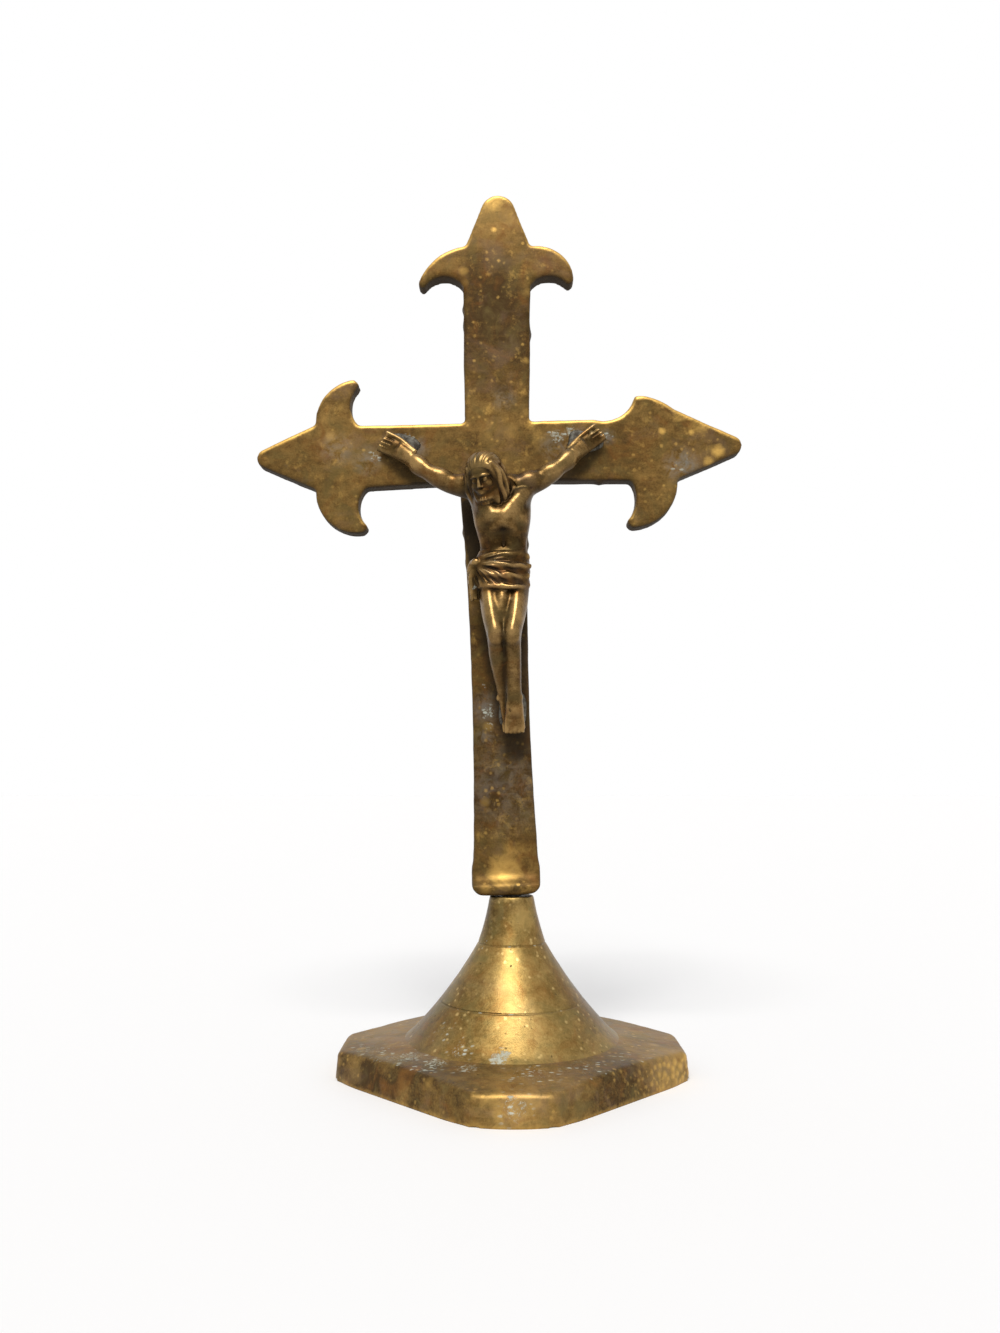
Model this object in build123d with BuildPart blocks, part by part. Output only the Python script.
from build123d import *
import os
from collections import namedtuple
from math import acos, atan2, cos, hypot, pi, radians, sin, tan

# Standing brass crucifix: a cast barbed cross with a cast figure, on a turned trumpet stem and a
# hollow cast base with cut corners. A stud in the foot of the cross runs down through stem and base
# to a nut, and the cross turns on it. Millimetres, +Z up, the front faces -Y. The origin is the
# middle of the base rim, on the surface that the crucifix stands on.

# Base plate, sizes across are taken at the rim
base_flats = 74.0
corner_cut = 18.25
skirt_height = 6.6
skirt_draft = 12.0
plate_crown = 8.4
plate_wall = 2.2
corner_round_share = 0.19
skirt_bevel_share = 0.09

# Stem, heights are above the rim
stem_foot_radius = 26.0
lower_line_height = 17.2
lower_line_share = 0.543
upper_line_height = 31.0
upper_line_radius = 8.5
stem_throat_radius = 6.75
stem_neck_radius = 5.6
stem_top = 42.0
stem_foot_rim = 7.0
stem_foot_relief = 3.0

# Stud, washer and nut
rod_radius = 2.0
rod_end = 1.0
rod_socket_depth = 7.6
rod_chamfer = 0.5
rod_running_clearance = 0.06
rod_free_clearance = 0.4
thread_clearance = 0.02
washer_radius = 6.5
washer_thickness = 1.0
nut_flats = 7.0
nut_height = 3.2
nut_slack = 0.3
nut_chamfer = 0.4

# Cross, one cast plate that leans to the viewer's left on its stud
plate_thickness = 5.0
plate_edge_bevel = 0.6
outline_round = 0.9
cross_lean = 1.7
foot_gap = 0.8
foot_offset = -1.3
foot_half = 8.65
foot_depth = 10.0
foot_block_height = 2.6
foot_cove = 5.0
foot_bevel = 1.8
waist_half = 7.3
waist_height = 47.6
shaft_half = 9.2
crossing_height = 114.8
bar_half = 8.1
top_arm_half = 8.6
top_arm_offset = 1.2

# Barbed ends of the arms, reaches are from the crossing
left_reach = 62.5
right_reach = 65.8
top_reach = 72.3
left_lobe_length = 15.5
right_lobe_length = 17.4
top_lobe_length = 14.8
side_tip_radius = 2.6
top_tip_radius = 4.8
lobe_root_half = 8.8
barb_tip_width = 1.6

# Barbs, each cast a little differently, in shares of one size: how far they stand out and sweep back,
# then the places of belly, waist and inner root, back from the root of the lobe and out from the axis
barb_size = 20.0
Barb = namedtuple("Barb", "reach sweep belly_back belly_reach waist_back waist_reach root_back root_half")
left_upper_barb_shares = Barb(1.055, 0.600, 0.200, 0.910, 0.470, 0.665, 0.580, 0.415)
left_lower_barb_shares = Barb(1.045, 0.695, 0.210, 0.935, 0.565, 0.720, 0.670, 0.435)
right_lower_barb_shares = Barb(1.080, 0.710, 0.195, 0.905, 0.565, 0.715, 0.620, 0.445)
top_left_barb_shares = Barb(1.080, 0.620, 0.210, 0.880, 0.430, 0.730, 0.565, 0.470)
top_right_barb_shares = Barb(1.025, 0.560, 0.120, 0.865, 0.420, 0.720, 0.550, 0.440)

# Stump of the worn upper barb on the right arm
stump_reach = 14.3
stump_crest = 8.0
stump_end = 10.4
stump_lobe_half = 10.3
stump_foot_back = 21.5
stump_cove_back = 13.0
stump_cove_reach = 9.9

# Figure: tables of the body are shares of its module, from the breastbone on the plate's face, and
# tables of the head are shares of the head height, from the chin
body_module = 14.6
head_height = 11.5
figure_shift = 2.5
figure_drop = 17.5
left_palm_shares = (-2.03, 1.34, 0.17)
right_palm_shares = (1.60, 1.42, 0.17)
instep_shares = (0.17, -3.50, 0.46)
chin_shares = (-0.29, 0.07, 0.72)
head_bow = 25.0
head_side_lean = 15.0
head_turn = 22.0

# Pins and solder pads, a pin's place is the seat of its head
solder_thickness = 0.5
pin_radius = 0.8
pin_head_radius = 1.3
pin_head_height = 0.5
pin_clearance = 0.03
solder_length = 9.0
solder_width = 6.4
foot_solder_length = 11.0
foot_solder_width = 7.4

# Cuts run past the faces that they open by this much
overrun = 1.0

# Places worked out from the sizes above
base_corners = base_flats * hypot(1, 1) - corner_cut
corner_round = corner_cut * corner_round_share
lower_line_radius = upper_line_radius + (stem_foot_radius - upper_line_radius) * lower_line_share
skirt_bevel = skirt_height * skirt_bevel_share
hollow_share = (base_flats - 2 * plate_wall) / base_flats
foot_bottom = stem_top + foot_gap
roof_height = plate_crown - plate_wall
washer_bottom = roof_height - washer_thickness
nut_top = washer_bottom - nut_slack
rod_top = foot_bottom + rod_socket_depth
plate_face = plate_thickness / 2
lean_run = Vector(cos(radians(cross_lean)), 0, sin(radians(cross_lean)))
lean_rise = Vector(-sin(radians(cross_lean)), 0, cos(radians(cross_lean)))
foot_place = Vector(foot_offset, 0, foot_bottom)
cross_plane = Plane(origin=foot_place, x_dir=lean_run, z_dir=(0, -1, 0))
crossing_place = foot_place + lean_rise * crossing_height
breastbone = crossing_place + Vector(figure_shift, -plate_face, -figure_drop)

os.makedirs("parts", exist_ok=True)


def save(piece, name):
    """Label a finished piece and write it to its own file."""
    piece.label = name
    export_step(piece, f"parts/{name}.step")


# Base plate
def dished_block(flats, corners, edge_height, crown):
    """Square with cut corners and leaning sides, under a top turned to a low cone with a flat seat."""
    edge_radius = corners / 2 - edge_height * tan(radians(skirt_draft))
    far_radius = corners - flats / 2
    fall = (crown - edge_height) / (edge_radius - stem_foot_radius)
    far_height = crown - fall * (far_radius - stem_foot_radius)
    with BuildPart() as block:
        with BuildSketch():
            Rectangle(corners, corners)
            Rectangle(flats, flats, rotation=45, mode=Mode.INTERSECT)
        extrude(amount=crown, taper=skirt_draft)
        with BuildSketch(Plane.XZ):
            with BuildLine():
                Polyline(
                    (0, 0),
                    (far_radius, 0),
                    (far_radius, far_height),
                    (stem_foot_radius, crown),
                    (0, crown),
                    close=True,
                )
            make_face()
        revolve(axis=Axis.Z, mode=Mode.INTERSECT)
    return block.part


base_outside = dished_block(base_flats, base_corners, skirt_height, plate_crown)
base_inside = dished_block(
    base_flats * hollow_share, base_corners * hollow_share, skirt_height - plate_wall, roof_height
)

with BuildPart() as base_plate:
    add(base_outside)
    upright_edges = base_plate.edges().filter_by(lambda edge: abs(edge.tangent_at(0.5).Z) > cos(pi / 4))
    fillet(upright_edges, radius=corner_round)
    top_edges = base_plate.faces().filter_by(GeomType.CONE).sort_by(SortBy.AREA)[-1].edges()
    chamfer(top_edges.filter_by(GeomType.CIRCLE, reverse=True), length=skirt_bevel)
    add(base_inside, mode=Mode.SUBTRACT)
    with Locations((0, 0, plate_crown)):
        Hole(radius=rod_radius + rod_free_clearance)

save(base_plate.part, "base_plate")

# Stem, a turned trumpet on the flat seat of the base, drilled through and relieved under its foot. Its
# outside is turned as short tapers along two arcs that meet at the upper line.
trumpet_arc = ThreePointArc(
    (stem_foot_radius, plate_crown),
    (lower_line_radius, lower_line_height),
    (upper_line_radius, upper_line_height),
)
neck_arc = ThreePointArc(
    (upper_line_radius, upper_line_height),
    (stem_throat_radius, (upper_line_height + stem_top) / 2),
    (stem_neck_radius, stem_top),
)
trumpet_taper_count = 3
neck_taper_count = 2


def along(arc, count):
    """Points that divide an arc into equal tapers."""
    return [arc @ (index / count) for index in range(count + 1)]



with BuildPart() as stem:
    with BuildSketch(Plane.XZ):
        with BuildLine():
            bore = rod_radius + rod_running_clearance
            relief_radius = stem_foot_radius - stem_foot_rim
            relief_height = plate_crown + stem_foot_relief
            Polyline(*along(trumpet_arc, trumpet_taper_count))
            Polyline(*along(neck_arc, neck_taper_count))
            Polyline(
                (stem_neck_radius, stem_top),
                (bore, stem_top),
                (bore, relief_height),
                (relief_radius, relief_height),
                (relief_radius, plate_crown),
                (stem_foot_radius, plate_crown),
            )
        make_face()
    revolve(axis=Axis.Z)

save(stem.part, "stem")

# Stud, washer and nut
with BuildPart() as tie_rod:
    with BuildSketch(Plane.XY.offset(rod_end)):
        Circle(rod_radius)
    extrude(amount=rod_top - rod_end)
    chamfer(tie_rod.edges().filter_by(GeomType.CIRCLE), length=rod_chamfer)

save(tie_rod.part, "tie_rod")

with BuildPart() as clamp_washer:
    with BuildSketch(Plane.XY.offset(washer_bottom)):
        Circle(washer_radius)
        Circle(rod_radius + rod_free_clearance, mode=Mode.SUBTRACT)
    extrude(amount=washer_thickness)

save(clamp_washer.part, "clamp_washer")

with BuildPart() as clamp_nut:
    with BuildSketch(Plane.XY.offset(nut_top - nut_height)):
        RegularPolygon(radius=nut_flats / 2, side_count=6, major_radius=False)
    extrude(amount=nut_height)
    with BuildSketch(Plane.XZ):
        corner = nut_flats / 2 / cos(pi / 6)
        with BuildLine():
            Polyline(
                (0, nut_top - nut_height),
                (corner - nut_chamfer, nut_top - nut_height),
                (corner, nut_top - nut_height + nut_chamfer),
                (corner, nut_top - nut_chamfer),
                (corner - nut_chamfer, nut_top),
                (0, nut_top),
                close=True,
            )
        make_face()
    revolve(axis=Axis.Z, mode=Mode.INTERSECT)
    with Locations((0, 0, nut_top)):
        Hole(radius=rod_radius + thread_clearance)

save(clamp_nut.part, "clamp_nut")

# Places on the figure, from the breastbone on the face of the plate
def figure_place(across, up, out):
    """Point of the figure, given in shares of the body module."""
    return breastbone + Vector(across, -out, up) * body_module


pin_places = {
    "left_hand_pin": figure_place(*left_palm_shares),
    "right_hand_pin": figure_place(*right_palm_shares),
    "foot_pin": figure_place(*instep_shares),
}

# Cross
Arm = namedtuple("Arm", "reach angle start lobe_length tip_radius")
right_arm = Arm(right_reach, 0.0, 0.0, right_lobe_length, side_tip_radius)
top_arm = Arm(top_reach, 90.0 - cross_lean, top_arm_offset, top_lobe_length, top_tip_radius)
left_arm = Arm(left_reach, 180.0, 0.0, left_lobe_length, side_tip_radius)


def arm_point(arm, back, side):
    """Sketch point on an arm, by the distance back from its tip and sideways from its axis."""
    along = arm.reach - back
    turn = radians(arm.angle)
    return (
        arm.start + along * cos(turn) - side * sin(turn),
        crossing_height + along * sin(turn) + side * cos(turn),
    )


def lobe(arm, low_half, high_half):
    """Rounded point of an arm: an arc about the tip with tangent lines back to the two roots."""
    touches = []
    for side, half in ((-1, low_half), (1, high_half)):
        run = arm.lobe_length - arm.tip_radius
        root_turn = atan2(half, -run)
        touch_turn = root_turn - acos(arm.tip_radius / hypot(run, half))
        touch = arm_point(
            arm,
            arm.tip_radius * (1 - cos(touch_turn)),
            side * arm.tip_radius * sin(touch_turn),
        )
        Line(arm_point(arm, arm.lobe_length, side * half), touch)
        touches.append(touch)
    ThreePointArc(touches[0], arm_point(arm, 0, 0), touches[1])


def barb_hook(arm, side, barb_shares):
    """Hook that curls back beside the lobe, down to its root on the bar, which is returned."""
    barb = Barb(*[share * barb_size for share in barb_shares])
    root = arm_point(arm, arm.lobe_length, side * lobe_root_half)
    belly = arm_point(arm, arm.lobe_length + barb.belly_back, side * barb.belly_reach)
    tip = arm_point(arm, arm.lobe_length + barb.sweep - barb_tip_width, side * barb.reach)
    hook = arm_point(arm, arm.lobe_length + barb.sweep, side * (barb.reach - barb_tip_width))
    waist = arm_point(arm, arm.lobe_length + barb.waist_back, side * barb.waist_reach)
    bar_root = arm_point(arm, arm.lobe_length + barb.root_back, side * barb.root_half)
    ThreePointArc(root, belly, tip)
    Line(tip, hook)
    ThreePointArc(hook, waist, bar_root)
    return bar_root


def stump(arm):
    """What is left of a worn barb: a low crest that runs out along the bar."""
    root = arm_point(arm, arm.lobe_length, stump_lobe_half)
    crest = arm_point(arm, arm.lobe_length + stump_crest, stump_reach)
    end = arm_point(arm, arm.lobe_length + stump_end, stump_reach)
    cove = arm_point(arm, arm.lobe_length + stump_cove_back, stump_cove_reach)
    bar_root = arm_point(arm, arm.lobe_length + stump_foot_back, bar_half)
    rise = arm_point(arm, arm.lobe_length + stump_crest / 2, (stump_lobe_half + 2 * stump_reach) / 3)
    ThreePointArc(root, rise, crest)
    Line(crest, end)
    ThreePointArc(end, cove, bar_root)
    return bar_root


lower_corner = crossing_height - bar_half
upper_right = (top_arm_offset + top_arm_half, crossing_height + bar_half)
upper_left = (top_arm_offset - top_arm_half, crossing_height + bar_half)

with BuildPart() as cross:
    with BuildSketch(cross_plane):
        with BuildLine():
            Line((-foot_half, 0), (foot_half, 0))
            for side in (-1, 1):
                ThreePointArc(
                    (side * foot_half, 0),
                    (side * waist_half, waist_height),
                    (side * shaft_half, lower_corner),
                )
            lobe(right_arm, lobe_root_half, stump_lobe_half)
            lobe(top_arm, lobe_root_half, lobe_root_half)
            lobe(left_arm, lobe_root_half, lobe_root_half)
            Line((shaft_half, lower_corner), barb_hook(right_arm, -1, right_lower_barb_shares))
            Line(upper_right, stump(right_arm))
            Line(upper_right, barb_hook(top_arm, -1, top_right_barb_shares))
            Line(upper_left, barb_hook(top_arm, 1, top_left_barb_shares))
            Line(upper_left, barb_hook(left_arm, -1, left_upper_barb_shares))
            Line((-shaft_half, lower_corner), barb_hook(left_arm, 1, left_lower_barb_shares))
        make_face()
    extrude(amount=plate_thickness / 2, both=True)
    fillet(cross.edges().filter_by(Axis.Y), radius=outline_round)
    chamfer(cross.faces().sort_by(Axis.Y)[0].edges(), length=plate_edge_bevel)
    with BuildSketch(Plane(origin=foot_place, x_dir=(0, 1, 0), z_dir=lean_run)):
        with BuildLine():
            cove_top = foot_block_height + foot_cove
            block_half = foot_depth / 2
            cove_sag = 1 - cos(pi / 4)
            Line((-block_half, 0), (block_half, 0))
            Line((-plate_face, cove_top), (plate_face, cove_top))
            for side in (-1, 1):
                Line((side * block_half, 0), (side * block_half, foot_block_height))
                ThreePointArc(
                    (side * block_half, foot_block_height),
                    (
                        side * (plate_face + (block_half - plate_face) * cove_sag),
                        cove_top - foot_cove * (1 - cove_sag),
                    ),
                    (side * plate_face, cove_top),
                )
        make_face()
    extrude(amount=foot_half, both=True)
    sole_edges = cross.faces().sort_by(Axis.Z)[0].edges().filter_by(Axis.Y)
    chamfer(sole_edges, length=foot_bevel)
    with Locations((0, 0, foot_bottom - overrun)):
        Cylinder(
            rod_radius + thread_clearance,
            rod_socket_depth + overrun,
            align=(Align.CENTER, Align.CENTER, Align.MIN),
            mode=Mode.SUBTRACT,
        )
    for place in pin_places.values():
        with BuildSketch(Plane(origin=(place.X, plate_face, place.Z), z_dir=(0, -1, 0))):
            Circle(pin_radius + pin_clearance)
        extrude(amount=plate_thickness, mode=Mode.SUBTRACT)

save(cross.part, "cross")

# Figure, built of swelling forms. The sections of a form are many-sided ovals, square to its run and alike
# in shape, so its sides are flat facets.
front = Vector(0, -1, 0)
section_corners = 12
corner_turns = [2 * pi * (index + 0.5) / section_corners for index in range(section_corners)]

# A form's depth is a share of its width. A station is a place (across, up, out) and a half width.
Form = namedtuple("Form", "depth_share stations")


def swell(form, place, facing, module):
    """Solid with flat sides through the stations of a form, given in shares of the module."""
    places = [place(*station[:3]) for station in form.stations]
    run = (places[-1] - places[0]).normalized()
    across = run.cross(facing).normalized()
    depth = run.cross(across)
    rings = []
    for origin, station in zip(places, form.stations):
        wide = across * (station[3] * module)
        deep = depth * (station[3] * module * form.depth_share)
        rings.append([origin + wide * cos(turn) + deep * sin(turn) for turn in corner_turns])
    outlines = [rings[0], rings[-1]]
    for ring, after in zip(rings, rings[1:]):
        outlines += [(ring[index - 1], ring[index], after[index], after[index - 1])
                     for index in range(section_corners)]
    return Solid(Shell([Face(Wire.make_polygon(outline)) for outline in outlines]))


def mirrored(form):
    """The same form on the other side of the middle."""
    return Form(form.depth_share, [(-station[0], *station[1:]) for station in form.stations])


torso_shares = Form(0.60, (
    (-0.10, 0.53, 0.38, 0.26),
    (-0.07, 0.36, 0.40, 0.46),
    (-0.02, -0.02, 0.41, 0.52),
    (0.01, -0.58, 0.35, 0.42),
    (-0.01, -1.38, 0.36, 0.46),
))
left_arm_shares = Form(1.00, (
    (-0.34, 0.36, 0.42, 0.22),
    (-0.90, 0.47, 0.40, 0.18),
    (-1.34, 0.71, 0.36, 0.155),
    (-1.88, 1.20, 0.19, 0.11),
    (-1.98, 1.30, 0.15, 0.10),
))
left_hand_shares = Form(0.56, (
    (-1.84, 1.16, 0.20, 0.12),
    (-2.07, 1.39, 0.11, 0.16),
    (-2.22, 1.56, 0.08, 0.08),
))
right_arm_shares = Form(1.00, (
    (0.20, 0.38, 0.42, 0.22),
    (0.66, 0.54, 0.40, 0.18),
    (1.02, 0.82, 0.35, 0.155),
    (1.46, 1.27, 0.19, 0.11),
    (1.55, 1.37, 0.15, 0.10),
))
right_hand_shares = Form(0.56, (
    (1.42, 1.23, 0.20, 0.12),
    (1.63, 1.46, 0.11, 0.16),
    (1.77, 1.65, 0.08, 0.08),
))
left_leg_shares = Form(1.08, (
    (-0.20, -1.20, 0.36, 0.25),
    (-0.18, -1.74, 0.52, 0.21),
    (-0.12, -2.28, 0.62, 0.165),
    (-0.06, -2.70, 0.46, 0.16),
    (0.03, -3.24, 0.24, 0.115),
    (0.09, -3.55, 0.17, 0.11),
))
left_foot_shares = Form(0.56, (
    (0.03, -3.24, 0.24, 0.13),
    (0.13, -3.84, 0.11, 0.16),
))
right_leg_shares = Form(1.08, (
    (0.21, -1.20, 0.36, 0.25),
    (0.22, -1.74, 0.53, 0.215),
    (0.145, -2.28, 0.64, 0.17),
    (0.155, -2.70, 0.52, 0.16),
    (0.20, -3.24, 0.40, 0.12),
    (0.21, -3.62, 0.34, 0.12),
))
right_foot_shares = Form(0.56, (
    (0.20, -3.30, 0.38, 0.13),
    (0.22, -3.90, 0.28, 0.17),
))
cloth_shares = Form(0.72, (
    (0.00, -0.76, 0.34, 0.41),
    (-0.02, -1.04, 0.35, 0.50),
    (-0.01, -1.44, 0.39, 0.47),
))
upper_fold_shares = Form(1.00, (
    (-0.48, -0.96, 0.42, 0.05),
    (-0.20, -1.02, 0.66, 0.06),
    (0.14, -1.07, 0.70, 0.06),
    (0.42, -1.06, 0.50, 0.04),
))
lower_fold_shares = Form(1.00, (
    (-0.49, -1.06, 0.42, 0.05),
    (-0.24, -1.22, 0.67, 0.06),
    (0.08, -1.30, 0.72, 0.06),
    (0.38, -1.28, 0.60, 0.04),
))
cloth_tail_shares = Form(0.70, (
    (-0.47, -0.92, 0.42, 0.11),
    (-0.50, -1.10, 0.41, 0.13),
    (-0.50, -1.46, 0.36, 0.11),
))


# Head, bowed and leaning to the viewer's left, in its own frame from the chin
head_frame = Plane.XY.rotated((head_bow, -head_side_lean, -head_turn))
head_front = head_frame.y_dir * -1


def head_place(across, up, out):
    """Point of the head, from the chin along the head's own axes."""
    offset = head_frame.x_dir * across + head_frame.z_dir * up + head_front * out
    return figure_place(*chin_shares) + offset * head_height


face_shares = Form(1.10, (
    (0.00, 0.00, -0.10, 0.12),
    (0.00, 0.20, -0.19, 0.25),
    (0.00, 0.50, -0.25, 0.32),
    (0.00, 0.80, -0.28, 0.30),
))
hair_shares = Form(0.95, (
    (0.00, 0.20, -0.42, 0.28),
    (0.00, 0.58, -0.35, 0.385),
    (0.00, 0.80, -0.30, 0.39),
    (0.00, 0.94, -0.30, 0.28),
    (0.00, 1.00, -0.30, 0.11),
))
beard_shares = Form(0.68, (
    (0.00, 0.24, 0.00, 0.19),
    (0.00, 0.04, 0.00, 0.19),
    (0.00, -0.13, -0.03, 0.07),
))
nose_shares = Form(1.00, (
    (0.00, 0.55, 0.08, 0.03),
    (0.00, 0.38, 0.13, 0.055),
    (0.00, 0.32, 0.09, 0.04),
))
brow_shares = Form(1.30, (
    (-0.25, 0.54, -0.06, 0.03),
    (-0.10, 0.57, 0.07, 0.04),
    (0.10, 0.57, 0.07, 0.04),
    (0.25, 0.54, -0.06, 0.03),
))
lock_shares = Form(1.70, (
    (0.34, 0.68, -0.26, 0.10),
    (0.40, 0.34, -0.28, 0.11),
    (0.38, -0.10, -0.30, 0.06),
))

body_forms = (torso_shares, left_arm_shares, left_hand_shares, right_arm_shares, right_hand_shares)
body_forms += (left_leg_shares, left_foot_shares, right_leg_shares, right_foot_shares)
body_forms += (cloth_shares, upper_fold_shares, lower_fold_shares, cloth_tail_shares)
head_forms = (face_shares, hair_shares, beard_shares, nose_shares, brow_shares)
head_forms += (lock_shares, mirrored(lock_shares))

with BuildPart() as corpus:
    for form in body_forms:
        add(swell(form, figure_place, front, body_module))
    for form in head_forms:
        add(swell(form, head_place, head_front, head_height))
    split(bisect_by=Plane(origin=(0, -plate_face - solder_thickness, 0), z_dir=(0, -1, 0)))
    for place in pin_places.values():
        with BuildSketch(Plane(origin=(place.X, -plate_face, place.Z), z_dir=(0, -1, 0))):
            Circle(pin_radius + pin_clearance)
        extrude(amount=body_module, mode=Mode.SUBTRACT)
        with BuildSketch(Plane(origin=place, z_dir=(0, -1, 0))):
            Circle(pin_head_radius + pin_clearance)
        extrude(amount=body_module, mode=Mode.SUBTRACT)

save(corpus.part, "corpus")

# Pins, flush at the back of the plate and with a low head in a spot face on the figure
for name, place in pin_places.items():
    with BuildPart() as pin:
        with BuildSketch(Plane(origin=(place.X, plate_face, place.Z), z_dir=(0, -1, 0))):
            Circle(pin_radius)
        extrude(amount=plate_face - place.Y)
        with BuildSketch(Plane(origin=place, z_dir=(0, -1, 0))):
            Circle(pin_head_radius)
        extrude(amount=pin_head_height)
    save(pin.part, name)

# Solder pads between the plate and the hands and feet
solder_outline_shares = (
    (0.50, 0.04),
    (0.37, 0.38),
    (0.08, 0.50),
    (-0.26, 0.41),
    (-0.48, 0.14),
    (-0.42, -0.28),
    (-0.13, -0.48),
    (0.24, -0.42),
)
solder_sizes = {
    "left_hand": (solder_length, solder_width),
    "right_hand": (solder_length, solder_width),
    "foot": (foot_solder_width, foot_solder_length),
}
for name, (wide, tall) in solder_sizes.items():
    place = pin_places[f"{name}_pin"]
    with BuildPart() as pad:
        with BuildSketch(Plane(origin=(place.X, -plate_face, place.Z), x_dir=(1, 0, 0), z_dir=(0, -1, 0))):
            Polygon(*[(wide * across, tall * up) for across, up in solder_outline_shares], align=None)
            Circle(pin_radius + pin_clearance, mode=Mode.SUBTRACT)
        extrude(amount=solder_thickness)
    save(pad.part, f"{name}_solder")
